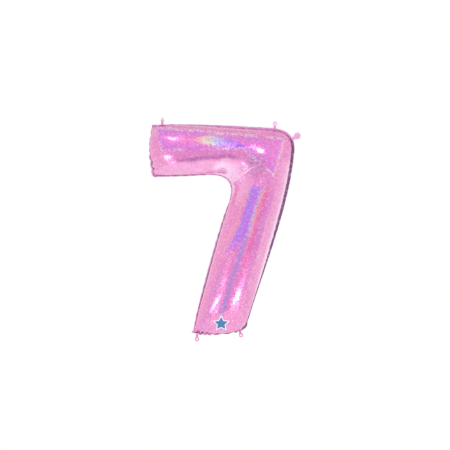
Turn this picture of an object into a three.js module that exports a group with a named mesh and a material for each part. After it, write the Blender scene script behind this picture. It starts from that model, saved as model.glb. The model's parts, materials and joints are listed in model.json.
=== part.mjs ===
// Foil number balloon, the figure seven, inflated. Millimetres, +Z up.
// The welded seam lies in the plane y = 0 and the front faces -Y.
// Shapes are drawn round the middle of the figure, and the whole balloon is moved at the end so that
// the origin is the middle of its box, with tabs and neck.

import * as THREE from 'three';

// ---- Driving dimensions ----

// The figure, over its welded flange
const FIGURE_HEIGHT = 903;
const FIGURE_WIDTH = 617;
const ARM_THICKNESS = 226; // the upper bar, at its free end
const FOOT_WIDTH = 229; // the stem, straight across at its foot
const FOOT_RIGHT = 104; // right corner of the foot, from the middle of the figure
const FOOT_RISE = 20; // the foot's right corner stands this much higher than its left one
const TOP_FALL = 27; // the top edge falls this much towards the corner
const ARM_END_LEAN = 6; // the lower corner of the arm's free end stands in by this much
const INNER_CORNER_X = 70; // where the arm's lower edge and the stem's left edge would meet
const INNER_CORNER_RISE = 10; // that meeting point, over the arm's lower corner

// How far each edge bows out of a straight line
const TOP_BOW = 9;
const ARM_END_BOW = 8;
const STEM_UPPER_BOW = 66; // the pull on the upper and lower halves of the stem's right side
const STEM_LOWER_BOW = 10;
const STEM_LEFT_BOW = 13;
const FOOT_BOW = 13;

// Rounding of the two corners, measured back along each edge
const OUTER_CORNER_REACH = 100;
const OUTER_CORNER_PROUD = 12; // the unrounded corner, past the widest point of the figure
const INNER_CORNER_REACH = 112;

// Inflated depth
const TUBE_DEPTH = 226; // front to back along the straight lengths
const ELBOW_SWELL = 0.014; // extra swell where the corner is wider than the tube, per mm

// Film and weld
const FILM_THICKNESS = 1; // the solid's wall; the foil itself is 0.05 mm
const FLANGE_WIDTH = 7;
const WELD_GAP = 0.3; // between the two films along the weld

// Hanging tabs
const TAB_WIDTH = 18.5;
const TAB_LENGTH = 32;
const TAB_THICKNESS = 1;
const TAB_ROOT_WIDTH = 12;
const EYELET_DIAMETER = 8;
const EYELET_FROM_ROOT = 18;
const HINGE_GAP = 1.2; // between the flange's edge and anything hinged on it, so that it can fold square
const TAB_TOP_LEFT_IN = 50; // the tabs' places, from the figure's left and right and the foot's ends
const TAB_TOP_RIGHT_IN = 80;
const TAB_FOOT_LEFT_IN = 24;
const TAB_FOOT_RIGHT_IN = 25;

// Filler neck
const NECK_WIDTH = 17;
const NECK_PADDLE_DIAMETER = 29;
const NECK_PADDLE_FROM_ROOT = 22;
const NECK_PLY_THICKNESS = 0.8;
const MOUTH_DEPTH = 9; // gap between the lips at the paddle
const NECK_SHARE = 0.62; // how far round the outer corner it stands, as a share

// Self-sealing valve
const VALVE_WIDTH = 40;
const VALVE_LENGTH = 130;
const VALVE_PLY_THICKNESS = 0.6;
const VALVE_INSET = 6; // from the weld to the root of the plies

// ---- Facets ----
const DOME_STEPS = 7; // facets from the weld to the crest of the tube
const ARM_STATIONS = 5;
const ELBOW_SIDE_STATIONS = 5; // on each side of the rounded outer corner
const CORNER_STATIONS = 8;
const STEM_STATIONS = 10;
const OUTLINE_SAMPLES = 400;
const EYELET_FACETS = 16;
const CURVE_FACETS = 10;
const NECK_STATIONS = 10;
const NECK_COLUMNS = 6;
const PADDLE_END_ANGLE = 1.3; // where the paddle's round rim is cut short, in radians from its middle

const plane = (x, z) => new THREE.Vector2(x, z);

// ---- The outline ----

const half = { w: FIGURE_WIDTH / 2, h: FIGURE_HEIGHT / 2 };
const armLeft = -half.w + ARM_END_BOW;
const armBottom = half.h - TOP_BOW / 2 - ARM_THICKNESS;
const footLevel = -half.h + FOOT_BOW - FOOT_RISE / 2;
const corners = {
  armTop: plane(armLeft, half.h - TOP_BOW / 2),
  outer: plane(half.w + OUTER_CORNER_PROUD, half.h - TOP_FALL),
  footRight: plane(FOOT_RIGHT, footLevel + FOOT_RISE),
  footLeft: plane(FOOT_RIGHT - FOOT_WIDTH, footLevel),
  inner: plane(INNER_CORNER_X, armBottom + INNER_CORNER_RISE),
  armBottom: plane(armLeft + ARM_END_LEAN, armBottom),
};

// A bowed edge from a to b: its first and last thirds are pulled out to its left by near and far.
function bowedEdge(a, b, near, far) {
  const along = b.clone().sub(a).normalize();
  const left = plane(-along.y, along.x);
  const first = a.clone().lerp(b, 1 / 3).addScaledVector(left, near);
  const second = a.clone().lerp(b, 2 / 3).addScaledVector(left, far);
  return new THREE.CubicBezierCurve(a, first, second, b);
}

// A stretch of another curve between two of its parameters.
class Stretch extends THREE.Curve {
  constructor(curve, from, to) {
    super();
    this.curve = curve;
    this.from = from;
    this.to = to;
  }

  getPoint(t, target) {
    return this.curve.getPoint(THREE.MathUtils.lerp(this.from, this.to, t), target);
  }
}

// Two edges that meet in a corner rounded back by reach along both.
function roundedPair(first, second, reach) {
  const leaveAt = 1 - reach / first.getLength();
  const arriveAt = reach / second.getLength();
  const start = first.getPoint(leaveAt);
  const end = second.getPoint(arriveAt);
  const leave = first.getTangent(leaveAt);
  const arrive = second.getTangent(arriveAt);
  const pull = end.clone().sub(start).cross(arrive) / leave.cross(arrive);
  const corner = start.clone().addScaledVector(leave, pull);
  const path = new THREE.CurvePath();
  path.add(new Stretch(first, 0, leaveAt));
  path.add(new THREE.QuadraticBezierCurve(start, corner, end));
  path.add(new Stretch(second, arriveAt, 1));
  return path;
}

// The figure is a ribbon between an outer edge (top, corner, right side) and an inner edge
// (arm's underside, inner corner, stem's left side).
const outerEdge = roundedPair(
  bowedEdge(corners.armTop, corners.outer, TOP_BOW, TOP_BOW),
  bowedEdge(corners.outer, corners.footRight, STEM_UPPER_BOW, STEM_LOWER_BOW),
  OUTER_CORNER_REACH,
);
const innerEdge = roundedPair(
  bowedEdge(corners.armBottom, corners.inner, 0, 0),
  bowedEdge(corners.inner, corners.footLeft, -STEM_LEFT_BOW, -STEM_LEFT_BOW),
  INNER_CORNER_REACH,
);

// How far along a path, in mm, its point nearest to a target lies.
function nearestAlong(path, target) {
  const points = path.getSpacedPoints(OUTLINE_SAMPLES);
  const gaps = points.map((point) => point.distanceTo(target));
  return (gaps.indexOf(Math.min(...gaps)) / OUTLINE_SAMPLES) * path.getLength();
}

// ---- The inflated surface ----

const tubeRadius = TUBE_DEPTH / 2;

// Distances from a weld at which the dome's facets start, closer together where the wall is steep.
const domeSteps = Array.from({ length: DOME_STEPS + 1 }, (_, i) =>
  tubeRadius * (1 - Math.cos((Math.PI / 2) * (i / DOME_STEPS))));

// Height of the inflated film over the seam plane at a distance from the weld.
function domeHeight(fromWeld) {
  const inTube = Math.min(fromWeld, tubeRadius);
  const swell = Math.max(0, fromWeld - tubeRadius);
  return Math.sqrt(tubeRadius ** 2 - (tubeRadius - inTube) ** 2) + ELBOW_SWELL * swell ** 2;
}

// Evenly spaced values after the first one, up to the last.
function evenly(first, last, count) {
  return Array.from({ length: count }, (_, i) => first + ((last - first) * (i + 1)) / count);
}

// Distances along one edge of the ribbon at which it is crossed: close together at both free ends,
// and fanned round the elbow, whose four marks are its two ends and those of the rounded outer corner.
function stationsAlong(length, marks) {
  const fromEnd = [0, ...domeSteps.map((step) => FLANGE_WIDTH + step)];
  const lastOfEnd = fromEnd[fromEnd.length - 1];
  return [
    ...fromEnd,
    ...evenly(lastOfEnd, marks[0], ARM_STATIONS),
    ...evenly(marks[0], marks[1], ELBOW_SIDE_STATIONS),
    ...evenly(marks[1], marks[2], CORNER_STATIONS),
    ...evenly(marks[2], marks[3], ELBOW_SIDE_STATIONS),
    ...evenly(marks[3], length - lastOfEnd, STEM_STATIONS),
    ...fromEnd.slice(0, -1).reverse().map((step) => length - step),
  ];
}

const innerLength = innerEdge.getLength();
const outerLength = outerEdge.getLength();
const [innerBendStart, innerBendEnd] = innerEdge.getCurveLengths();
const [outerBendStart, outerBendEnd] = outerEdge.getCurveLengths();
const acrossFrom = (along) => nearestAlong(outerEdge, innerEdge.getPointAt(along / innerLength));
const elbowStations = 2 * ELBOW_SIDE_STATIONS + CORNER_STATIONS;
const innerMark = (index) => THREE.MathUtils.lerp(innerBendStart, innerBendEnd, index / elbowStations);
const innerStations = stationsAlong(innerLength, [
  innerBendStart,
  innerMark(ELBOW_SIDE_STATIONS),
  innerMark(ELBOW_SIDE_STATIONS + CORNER_STATIONS),
  innerBendEnd,
]);
const outerStations = stationsAlong(outerLength, [
  acrossFrom(innerBendStart),
  outerBendStart,
  outerBendEnd,
  acrossFrom(innerBendEnd),
]);

// Fractions across the ribbon, with the weld FLANGE_WIDTH in from each edge.
function fractionsAcross(width) {
  const weld = FLANGE_WIDTH / width;
  const fractions = [0];
  for (let i = 0; i <= 2 * DOME_STEPS; i += 1) {
    const round = (1 - Math.cos((Math.PI * i) / (2 * DOME_STEPS))) / 2;
    fractions.push(weld + (1 - 2 * weld) * round);
  }
  fractions.push(1);
  return fractions;
}

// How much a station shares in the bow of the free end it is near.
function endBow(along, length, bow) {
  return bow * Math.max(0, 1 - Math.abs(along - length) / ARM_THICKNESS);
}

// The ribbon's points in the seam plane, one row for each station.
const ribbon = innerStations.map((along, row) => {
  const outer = outerEdge.getPointAt(Math.min(1, outerStations[row] / outerLength));
  const inner = innerEdge.getPointAt(Math.min(1, along / innerLength));
  const bow = plane(-endBow(along, 0, ARM_END_BOW), -endBow(along, innerLength, FOOT_BOW));
  return fractionsAcross(outer.distanceTo(inner)).map((across) =>
    outer.clone().lerp(inner, across).addScaledVector(bow, 4 * across * (1 - across)));
});
const lastRow = ribbon.length - 1;
const lastColumn = ribbon[0].length - 1;

// The closed line of the grid that lies a number of cells in from its edge, arm's top corner first.
function gridLoop(inset) {
  const loop = [];
  const low = { row: lastRow - inset, column: lastColumn - inset };
  for (let row = inset; row < low.row; row += 1) loop.push(ribbon[row][inset]);
  for (let column = inset; column < low.column; column += 1) loop.push(ribbon[low.row][column]);
  for (let row = low.row; row > inset; row -= 1) loop.push(ribbon[row][low.column]);
  for (let column = low.column; column > inset; column -= 1) loop.push(ribbon[inset][column]);
  return loop;
}

const weldLine = gridLoop(1);

// Shortest distance from a point to a closed line.
function distanceToLoop(point, loop) {
  const nearest = new THREE.Vector3();
  const at = new THREE.Vector3(point.x, point.y, 0);
  const segment = new THREE.Line3();
  return Math.min(...loop.map((from, i) => {
    const to = loop[(i + 1) % loop.length];
    segment.start.set(from.x, from.y, 0);
    segment.end.set(to.x, to.y, 0);
    return segment.closestPointToPoint(at, true, nearest).distanceTo(at);
  }));
}

// Height of the film at each point of the grid; the flange stays flat.
const heights = ribbon.map((row, r) => row.map((point, c) => {
  const onFlange = r <= 1 || c <= 1 || r >= lastRow - 1 || c >= lastColumn - 1;
  return onFlange ? 0 : domeHeight(distanceToLoop(point, weldLine));
}));

// ---- Solids from grids ----

// Unit normals of a grid of points, from the lines through each point's neighbours.
function gridNormals(grid) {
  const step = (list, i, change) => list[Math.min(list.length - 1, Math.max(0, i + change))];
  return grid.map((row, r) => row.map((_, c) => {
    const along = step(grid, r, 1)[c].clone().sub(step(grid, r, -1)[c]);
    const across = step(row, c, 1).clone().sub(step(row, c, -1));
    return along.cross(across).normalize();
  }));
}

// A closed sheet of a given thickness behind a grid of points that faces along Y towards side, -1 or 1.
// Each cell is split along the diagonal that stands out further, so a ridge stays a clean line.
function sheetFromGrid(grid, thickness, side) {
  const normals = gridNormals(grid);
  const behind = grid.map((row, r) => row.map((point, c) =>
    point.clone().addScaledVector(normals[r][c], -thickness)));
  const rows = grid.length;
  const columns = grid[0].length;
  const positions = [...grid.flat(), ...behind.flat()].flatMap((point) => point.toArray());
  const front = (r, c) => r * columns + c;
  const back = (r, c) => rows * columns + front(r, c);
  const faces = [];
  const quad = (a, b, c, d) => faces.push(a, b, c, a, c, d);
  for (let r = 0; r < rows - 1; r += 1) {
    for (let c = 0; c < columns - 1; c += 1) {
      const ridge = grid[r][c].y + grid[r + 1][c + 1].y - grid[r + 1][c].y - grid[r][c + 1].y;
      const cell = [[r, c], [r + 1, c], [r + 1, c + 1], [r, c + 1]];
      if (ridge * side < 0) cell.push(cell.shift());
      const [i, j, k, l] = cell;
      quad(front(...i), front(...j), front(...k), front(...l));
      quad(back(...i), back(...l), back(...k), back(...j));
    }
  }
  for (let r = 0; r < rows - 1; r += 1) {
    quad(front(r, 0), back(r, 0), back(r + 1, 0), front(r + 1, 0));
    quad(front(r + 1, columns - 1), back(r + 1, columns - 1), back(r, columns - 1), front(r, columns - 1));
  }
  for (let c = 0; c < columns - 1; c += 1) {
    quad(front(0, c + 1), back(0, c + 1), back(0, c), front(0, c));
    quad(front(rows - 1, c), back(rows - 1, c), back(rows - 1, c + 1), front(rows - 1, c + 1));
  }
  const geometry = new THREE.BufferGeometry();
  geometry.setAttribute('position', new THREE.Float32BufferAttribute(positions, 3));
  geometry.setIndex(faces);
  return geometry;
}

// ---- Materials ----

const foil = (color) => new THREE.MeshStandardMaterial({ color, roughness: 0.22, metalness: 0.9 });
const clearFilm = () => new THREE.MeshStandardMaterial({ color: '#e9e4ea', roughness: 0.35, metalness: 0 });
const FOIL_PINK = '#f08fd0';
const FOIL_PALE = '#f6b4dd';

const balloon = new THREE.Group();

function addPiece(parent, name, geometry, material) {
  const piece = new THREE.Mesh(geometry, material);
  piece.name = name;
  parent.add(piece);
}

// ---- The two films ----

// side is -1 for the front film, towards -Y, and 1 for the back film.
function filmGeometry(side) {
  const outside = WELD_GAP / 2 + FILM_THICKNESS;
  const grid = ribbon.map((row, r) => row.map((point, c) =>
    new THREE.Vector3(point.x, side * (outside + heights[r][c]), point.y)));
  const facingOut = side < 0 ? grid : grid.map((row) => [...row].reverse());
  return sheetFromGrid(facingOut, FILM_THICKNESS, side);
}

addPiece(balloon, 'front_film', filmGeometry(-1), foil(FOIL_PINK));
addPiece(balloon, 'back_film', filmGeometry(1), foil(FOIL_PINK));

// ---- Pieces rooted on the flange ----

const outline = gridLoop(0);

// The point of the flange's outer line nearest to a target, and the way straight out of it there.
function rootAt(target) {
  const at = new THREE.Vector3(target.x, target.y, 0);
  const sides = outline.map((from, i) => {
    const to = outline[(i + 1) % outline.length];
    const line = new THREE.Line3(new THREE.Vector3(from.x, from.y, 0), new THREE.Vector3(to.x, to.y, 0));
    const place = line.closestPointToPoint(at, true, new THREE.Vector3());
    const along = line.delta(new THREE.Vector3()).normalize();
    return { place: plane(place.x, place.y), outward: plane(-along.y, along.x), gap: place.distanceTo(at) };
  });
  return sides.reduce((best, side) => (side.gap < best.gap ? side : best));
}

// A group whose +Z points along a direction in the seam plane, set off from a place by a distance.
function groupPointing(place, direction, distance) {
  const root = new THREE.Group();
  root.position.set(place.x + direction.x * distance, 0, place.y + direction.y * distance);
  root.rotation.y = Math.atan2(direction.x, direction.y);
  balloon.add(root);
  return root;
}

// ---- Hanging tabs ----

// A lug with a round eyelet: a narrow root that widens into a round end.
function tabGeometry() {
  const endCentre = TAB_LENGTH - TAB_WIDTH / 2;
  const shape = new THREE.Shape();
  shape.moveTo(-TAB_ROOT_WIDTH / 2, 0);
  shape.lineTo(TAB_ROOT_WIDTH / 2, 0);
  shape.quadraticCurveTo(TAB_WIDTH / 2, endCentre / 3, TAB_WIDTH / 2, endCentre);
  shape.absarc(0, endCentre, TAB_WIDTH / 2, 0, Math.PI, false);
  shape.quadraticCurveTo(-TAB_WIDTH / 2, endCentre / 3, -TAB_ROOT_WIDTH / 2, 0);
  const eyelet = new THREE.Path();
  for (let i = 0; i < EYELET_FACETS; i += 1) {
    const angle = (-2 * Math.PI * i) / EYELET_FACETS;
    const x = (EYELET_DIAMETER / 2) * Math.cos(angle);
    const y = EYELET_FROM_ROOT + (EYELET_DIAMETER / 2) * Math.sin(angle);
    if (i === 0) eyelet.moveTo(x, y);
    else eyelet.lineTo(x, y);
  }
  shape.holes.push(eyelet);
  const settings = { depth: TAB_THICKNESS, bevelEnabled: false, curveSegments: CURVE_FACETS };
  const geometry = new THREE.ExtrudeGeometry(shape, settings);
  geometry.rotateX(Math.PI / 2);
  geometry.translate(0, TAB_THICKNESS / 2, 0);
  return geometry;
}

// A point on the straight line between the foot's corners, inset from its left or right one.
function footPoint(corner, other, inset) {
  const along = other.clone().sub(corner).normalize();
  return corner.clone().addScaledVector(along, inset);
}

const tabTargets = {
  top_left: plane(armLeft + TAB_TOP_LEFT_IN, half.h),
  top_right: plane(half.w - TAB_TOP_RIGHT_IN, half.h - TOP_FALL),
  bottom_left: footPoint(corners.footLeft, corners.footRight, TAB_FOOT_LEFT_IN),
  bottom_right: footPoint(corners.footRight, corners.footLeft, TAB_FOOT_RIGHT_IN),
};

for (const [name, target] of Object.entries(tabTargets)) {
  const { place, outward } = rootAt(target);
  const root = groupPointing(place, outward, HINGE_GAP);
  addPiece(root, `hanging_tab_${name}`, tabGeometry(), foil(FOIL_PALE));
}

// ---- Filler neck ----

// Half width of the neck at a height over its root: a straight stem that opens into a round paddle.
function neckHalfWidth(height) {
  const paddle = NECK_PADDLE_DIAMETER / 2;
  const over = height - NECK_PADDLE_FROM_ROOT;
  const round = Math.abs(over) < paddle ? Math.sqrt(paddle ** 2 - over ** 2) : 0;
  return over < 0 ? Math.max(NECK_WIDTH / 2, round) : round;
}

// One lip of the neck. bow is how far the paddle stands back from the flat; the stem's edges are
// welded, so only its middle lifts, and the paddle's rim is free.
function neckPlyGeometry(side, bow) {
  const tip = NECK_PADDLE_FROM_ROOT + (NECK_PADDLE_DIAMETER / 2) * Math.sin(PADDLE_END_ANGLE);
  const outside = WELD_GAP / 2 + NECK_PLY_THICKNESS;
  const columns = [-1, ...evenly(-1, 1, NECK_COLUMNS)];
  const grid = [0, ...evenly(0, tip, NECK_STATIONS)].map((height) => {
    const lift = bow * THREE.MathUtils.smoothstep(height, 0, NECK_PADDLE_FROM_ROOT);
    const held = 1 - THREE.MathUtils.smoothstep(height, 0, NECK_PADDLE_FROM_ROOT);
    return columns.map((across) => {
      const x = across * neckHalfWidth(height);
      return new THREE.Vector3(x, side * (outside + lift * (1 - held * across ** 2)), height);
    });
  });
  const facingOut = side < 0 ? grid.map((row) => [...row].reverse()) : grid;
  return sheetFromGrid(facingOut, NECK_PLY_THICKNESS, side);
}

const neckAlong = THREE.MathUtils.lerp(outerBendStart, outerBendEnd, NECK_SHARE);
const neckRoot = rootAt(outerEdge.getPointAt(neckAlong / outerLength));
const neck = groupPointing(neckRoot.place, neckRoot.outward, HINGE_GAP);
addPiece(neck, 'filler_neck_front_ply', neckPlyGeometry(-1, 0), foil(FOIL_PALE));
addPiece(neck, 'filler_neck_back_ply', neckPlyGeometry(1, MOUTH_DEPTH), foil(FOIL_PALE));

// ---- Self-sealing valve ----

// A ply is a long strip with a round inner end, rooted inside the weld behind the neck.
function valvePlyGeometry(side) {
  const shape = new THREE.Shape();
  shape.moveTo(-VALVE_WIDTH / 2, 0);
  shape.lineTo(VALVE_WIDTH / 2, 0);
  shape.lineTo(VALVE_WIDTH / 2, VALVE_LENGTH - VALVE_WIDTH / 2);
  shape.absarc(0, VALVE_LENGTH - VALVE_WIDTH / 2, VALVE_WIDTH / 2, 0, Math.PI, false);
  shape.lineTo(-VALVE_WIDTH / 2, 0);
  const settings = { depth: VALVE_PLY_THICKNESS, bevelEnabled: false, curveSegments: CURVE_FACETS };
  const geometry = new THREE.ExtrudeGeometry(shape, settings);
  geometry.rotateX(Math.PI / 2);
  const middle = side * (WELD_GAP + VALVE_PLY_THICKNESS) / 2;
  geometry.translate(0, middle + VALVE_PLY_THICKNESS / 2, 0);
  return geometry;
}

const valve = groupPointing(neckRoot.place, neckRoot.outward.clone().negate(), FLANGE_WIDTH + VALVE_INSET);
addPiece(valve, 'valve_front_ply', valvePlyGeometry(-1), clearFilm());
addPiece(valve, 'valve_back_ply', valvePlyGeometry(1), clearFilm());

// ---- The whole balloon, with its box centred on the origin ----

balloon.updateMatrixWorld(true);
const boxMiddle = new THREE.Box3().setFromObject(balloon, true).getCenter(new THREE.Vector3());
balloon.position.sub(boxMiddle);

const model = new THREE.Group();
model.add(balloon);

export default model;
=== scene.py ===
"""Foil number balloon, the figure seven: its films, hanging tabs, filler neck, valve and stage.

Everything is in metres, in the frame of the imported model. The front faces -Y and the welded seam lies
in the plane y = 0.
"""

import json
import math

import bmesh
import bpy
import numpy as np
from mathutils import Matrix, Vector
from mathutils.geometry import delaunay_2d_cdt


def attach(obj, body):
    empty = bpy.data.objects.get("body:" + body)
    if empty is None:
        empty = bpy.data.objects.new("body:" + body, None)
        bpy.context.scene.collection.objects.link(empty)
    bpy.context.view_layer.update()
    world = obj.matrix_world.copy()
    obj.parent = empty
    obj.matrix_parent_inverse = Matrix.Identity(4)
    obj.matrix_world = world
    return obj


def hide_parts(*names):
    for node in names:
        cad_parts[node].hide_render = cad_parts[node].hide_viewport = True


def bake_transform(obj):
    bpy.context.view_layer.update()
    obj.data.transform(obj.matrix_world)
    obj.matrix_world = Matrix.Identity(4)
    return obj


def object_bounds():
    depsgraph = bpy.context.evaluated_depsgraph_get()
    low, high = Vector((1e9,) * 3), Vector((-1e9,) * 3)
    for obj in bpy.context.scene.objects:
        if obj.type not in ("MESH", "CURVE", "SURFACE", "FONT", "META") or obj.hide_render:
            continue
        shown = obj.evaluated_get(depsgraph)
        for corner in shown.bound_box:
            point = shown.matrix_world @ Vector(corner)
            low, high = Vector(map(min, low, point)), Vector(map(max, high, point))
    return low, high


bl_info = {
    "name": "Foil Number Balloon",
    "version": (1, 0, 0),
    "blender": (4, 5, 0),
    "location": "3D View > Sidebar > Balloon",
    "description": "Builds the looks of an inflated foil figure seven round its packed frame",
    "category": "Object",
}

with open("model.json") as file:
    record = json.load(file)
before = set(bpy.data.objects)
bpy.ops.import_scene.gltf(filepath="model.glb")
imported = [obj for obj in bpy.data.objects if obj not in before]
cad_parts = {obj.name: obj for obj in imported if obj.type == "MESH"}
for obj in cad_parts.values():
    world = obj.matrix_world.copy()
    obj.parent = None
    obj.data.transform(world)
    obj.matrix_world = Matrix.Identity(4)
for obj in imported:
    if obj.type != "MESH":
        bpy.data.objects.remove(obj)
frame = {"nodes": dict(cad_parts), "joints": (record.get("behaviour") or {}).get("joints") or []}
CAD_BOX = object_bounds()

MM = 0.001
TO_BACK = Vector((0, 1, 0))


# ---- Sizes and colours that a user would change ----


def length(name, description, default):
    return bpy.props.FloatProperty(
        name=name, description=description, default=default, min=0, unit="LENGTH", precision=4
    )


def colour(name, description, default):
    return bpy.props.FloatVectorProperty(
        name=name, description=description, default=default, min=0, max=1, size=3, subtype="COLOR"
    )


class FilmSizes(bpy.types.PropertyGroup):
    """How the two films are cut, welded and inflated."""

    mesh_step: length("Mesh step", "Spacing of the simulated film's points", 15 * MM)
    flange_width: length("Flange", "Width of the flat weld outside the seam", 9 * MM)
    foil_thickness: length("Foil", "Thickness given to the film", 0.25 * MM)
    side_growth: length("Side growth", "How far the flat cut lies outside the inflated seam", 48 * MM)
    inner_growth: length("Inner growth", "The same, under the arm and along the stem's inner side", 42 * MM)
    corner_growth: length("Corner growth", "The same, at the figure's four sharp corners", 22 * MM)
    corner_taper: length("Corner taper", "Length over which the growth fades in from a sharp corner", 70 * MM)
    opening: bpy.props.FloatProperty(
        name="Opening",
        description="How far the flat cut's elbow stands open, against the inflated one",
        default=math.radians(23),
        subtype="ANGLE",
    )
    pressure: bpy.props.FloatProperty(
        name="Pressure", description="Pressure of the gas while inflating", default=5
    )
    draw_in_frames: bpy.props.IntProperty(
        name="Drawing in", description="Frames over which the seam draws in", default=20
    )
    frames: bpy.props.IntProperty(name="Frames", description="Frames of the inflation", default=50)
    ironing: bpy.props.IntProperty(
        name="Ironing", description="Rounds of smoothing that pull the film taut", default=5
    )
    corner_ironing: bpy.props.IntProperty(
        name="Corner ironing", description="Further rounds round the inner corner", default=12
    )
    pucker_pitch: length("Pucker pitch", "Spacing of the puckers along the weld", 30 * MM)
    end_pucker: length("End pucker", "Depth of the puckers at the two free ends", 6 * MM)
    side_pucker: length("Side pucker", "Depth of the puckers along the sides", 0.9 * MM)
    overhang: length("Overhang", "How far the film may bulge out past its weld", 2.5 * MM)
    crease: length("Crease", "Depth of the crease that runs from the inner corner to the elbow", 2.5 * MM)
    crease_width: length("Crease width", "How wide that crease is", 8 * MM)
    pucker_reach: length("Pucker reach", "How far a pucker runs into the film", 20 * MM)


class FilmColours(bpy.types.PropertyGroup):
    """The holographic film, the light and shade painted on it, and what is printed on it."""

    pink: colour("Pink", "The film on its flanks", (0.86, 0.29, 0.57))
    # pale is painted reflection of the white floor, and painted sheen on the stem's right flank and by the
    # inner corner
    pale: colour("Pale pink", "The film where it looks down or away", (0.94, 0.46, 0.72))
    # magenta and violet are painted reflection on the bright panel of arm and elbow
    magenta: colour("Magenta", "The film in the arm's bright panel", (0.89, 0.25, 0.70))
    violet: colour("Violet", "The hologram's deep end", (0.56, 0.25, 0.84))
    # weld is the dark painted shade on the welded edge
    weld: colour("Weld", "The flat welded edge", (0.27, 0.11, 0.24))
    print_blue: colour("Print", "The small printed star", (0.04, 0.20, 0.40))
    # pale_weld is painted light on the welded edge
    pale_weld: colour("Pale weld", "The weld where it catches the light", (0.80, 0.40, 0.62))
    flake: length("Flake", "Size of one holographic flake", 5.5 * MM)


class TabSizes(bpy.types.PropertyGroup):
    """The four hanging tabs."""

    width: length("Width", "Across the rounded lug", 18.5 * MM)
    root_width: length("Root width", "Across the root, on the flange", 12 * MM)
    eyelet: length("Eyelet", "Diameter of the eyelet", 8 * MM)
    eyelet_from_root: length("Eyelet height", "From the root to the eyelet's middle", 18 * MM)
    lap: length("Lap", "How far the root laps onto the flange", 4 * MM)
    thickness: length("Thickness", "Both plies of film together", 0.6 * MM)


class NeckSizes(bpy.types.PropertyGroup):
    """The filler neck with its round paddle."""

    width: length("Width", "Across the neck", 17 * MM)
    paddle: length("Paddle", "Diameter of the round paddle", 29 * MM)
    paddle_from_root: length("Paddle height", "From the root to the paddle's middle", 22 * MM)
    mouth: length("Mouth", "Gap between the two lips", 7 * MM)
    lap: length("Lap", "How far the root laps onto the flange", 4 * MM)
    thickness: length("Thickness", "One ply of film", 0.4 * MM)


class ValveSizes(bpy.types.PropertyGroup):
    """The self-sealing valve's two plies."""

    width: length("Width", "Across a ply at its root", 40 * MM)
    depth: length("Length", "From the seam into the balloon", 130 * MM)
    thickness: length("Thickness", "One ply of film", 0.3 * MM)


class StageSizes(bpy.types.PropertyGroup):
    """Camera, lights and floor."""

    picture_width: length("Picture width", "Width seen in the plane of the seam", 1.9215)
    camera_distance: length("Camera distance", "From the seam to the camera", 5.0)
    lift: length("Lift", "How far the picture's middle is above the balloon's", 19 * MM)
    floor_drop: length("Floor drop", "From the balloon's lowest point down to the floor", 1.1)
    floor_size: length("Floor size", "Side of the floor", 5)


# ---- Shader trees ----


class Socket:
    """A shader socket in Python arithmetic: each operation adds one Math node to its tree."""

    def __init__(self, tree, socket):
        self.tree = tree
        self.socket = socket

    def __add__(self, other):
        return self.tree.math("ADD", self, other)

    def __radd__(self, other):
        return self.tree.math("ADD", other, self)

    def __sub__(self, other):
        return self.tree.math("SUBTRACT", self, other)

    def __rsub__(self, other):
        return self.tree.math("SUBTRACT", other, self)

    def __mul__(self, other):
        return self.tree.math("MULTIPLY", self, other)

    def __truediv__(self, other):
        return self.tree.math("DIVIDE", self, other)

    def __abs__(self):
        return self.tree.math("ABSOLUTE", self)


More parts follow.
